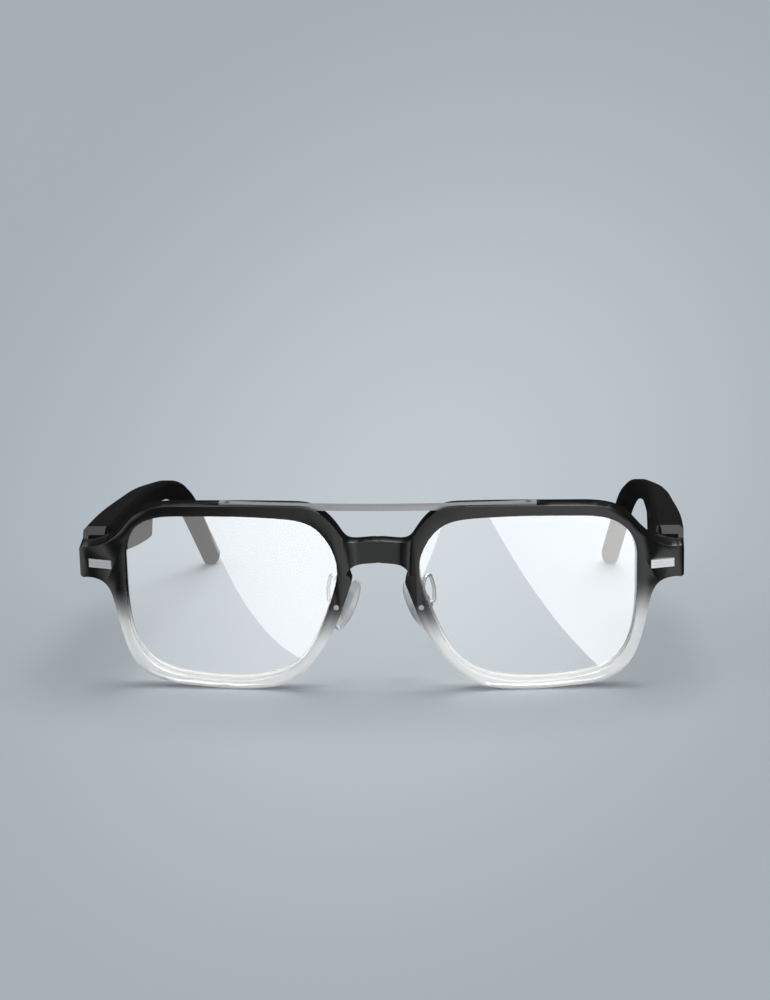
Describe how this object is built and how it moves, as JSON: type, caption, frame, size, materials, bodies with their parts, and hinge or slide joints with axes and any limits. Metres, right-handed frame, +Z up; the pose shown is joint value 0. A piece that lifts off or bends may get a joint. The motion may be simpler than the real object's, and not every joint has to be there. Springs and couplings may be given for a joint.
{
  "type": "smart glasses",
  "caption": "Eyeglasses with a full acetate front, clear lenses, a metal bar above the bridge, ribbed end plaques, nose pads and folding temples that hold electronics.",
  "frame": {"origin": "under the middle of the whole open frame, on the surface it stands on", "axes": "+X to the viewer's right when facing the lenses (the wearer's left), +Y back along the open temples, +Z up"},
  "size_m": [0.148, 0.1442, 0.0481],
  "materials": {
    "black_acetate": "polished black acetate that fades to clear towards the lower rims",
    "black_housing": "satin black nylon",
    "lens": "clear coated lens",
    "silver_metal": "brushed silver",
    "gunmetal": "brushed metal with a clear coat",
    "blackened_metal": "blackened steel",
    "steel": "bright steel",
    "clear_silicone": "clear soft silicone",
    "gasket_rubber": "matt black rubber",
    "cell_foil": "foil pouch",
    "board_green": "coated circuit board",
    "speaker_black": "moulded speaker case",
    "contact_gold": "gold plated",
    "sensor_film": "polyimide film"
  },
  "bodies": {
    "front": {"front_frame": "black_acetate", "lens_right": "lens", "lens_left": "lens", "plaque_right": "silver_metal", "plaque_left": "silver_metal", "brow_bar": "gunmetal", "brow_bar_screws": "steel", "pad_arm_right": "steel", "pad_arm_left": "steel", "pad_arm_rivets": "silver_metal", "pad_screws": "steel", "front_hinge_right": "blackened_metal", "front_hinge_left": "blackened_metal", "hinge_screws": "steel"},
    "temple_left": {"leaf_screws_left": "steel", "temple_hinge_left": "blackened_metal", "temple_shell_left": "black_housing", "temple_cover_left": "black_housing", "temple_gasket_left": "gasket_rubber", "touch_sensor_left": "sensor_film", "charge_contacts_left": "contact_gold", "speaker_mesh_left": "steel", "wire_core_left": "steel", "ear_piece_left": "black_housing", "battery_left": "cell_foil", "circuit_board_left": "board_green", "speaker_left": "speaker_black", "microphone_left": "silver_metal"},
    "temple_right": {"leaf_screws_right": "steel", "temple_hinge_right": "blackened_metal", "temple_shell_right": "black_housing", "temple_cover_right": "black_housing", "temple_gasket_right": "gasket_rubber", "touch_sensor_right": "sensor_film", "charge_contacts_right": "contact_gold", "speaker_mesh_right": "steel", "wire_core_right": "steel", "ear_piece_right": "black_housing", "battery_right": "cell_foil", "circuit_board_right": "board_green", "speaker_right": "speaker_black", "microphone_right": "silver_metal"},
    "nose_pad_left": {"nose_pad_left": "clear_silicone", "nose_pad_insert_left": "steel"},
    "nose_pad_right": {"nose_pad_right": "clear_silicone", "nose_pad_insert_right": "steel"}
  },
  "joints": [
    {"name": "temple_right_fold", "type": "hinge", "parent": "front", "child": "temple_right", "pos_m": [0.0666, -0.05305, 0.0315], "axis": [0, 0, 1], "range_deg": [0, 76]},
    {"name": "temple_left_fold", "type": "hinge", "parent": "front", "child": "temple_left", "pos_m": [-0.0666, -0.05305, 0.0315], "axis": [0, 0, -1], "range_deg": [0, 84]},
    {"name": "nose_pad_right_rock", "type": "hinge", "parent": "front", "child": "nose_pad_right", "pos_m": [0.01043, -0.05634, 0.01975], "axis": [-0.3395, -0.8961, -0.2858], "range_deg": [-8, 8]},
    {"name": "nose_pad_left_rock", "type": "hinge", "parent": "front", "child": "nose_pad_left", "pos_m": [-0.01043, -0.05634, 0.01975], "axis": [-0.3395, 0.8961, 0.2858], "range_deg": [-8, 8]}
  ]
}
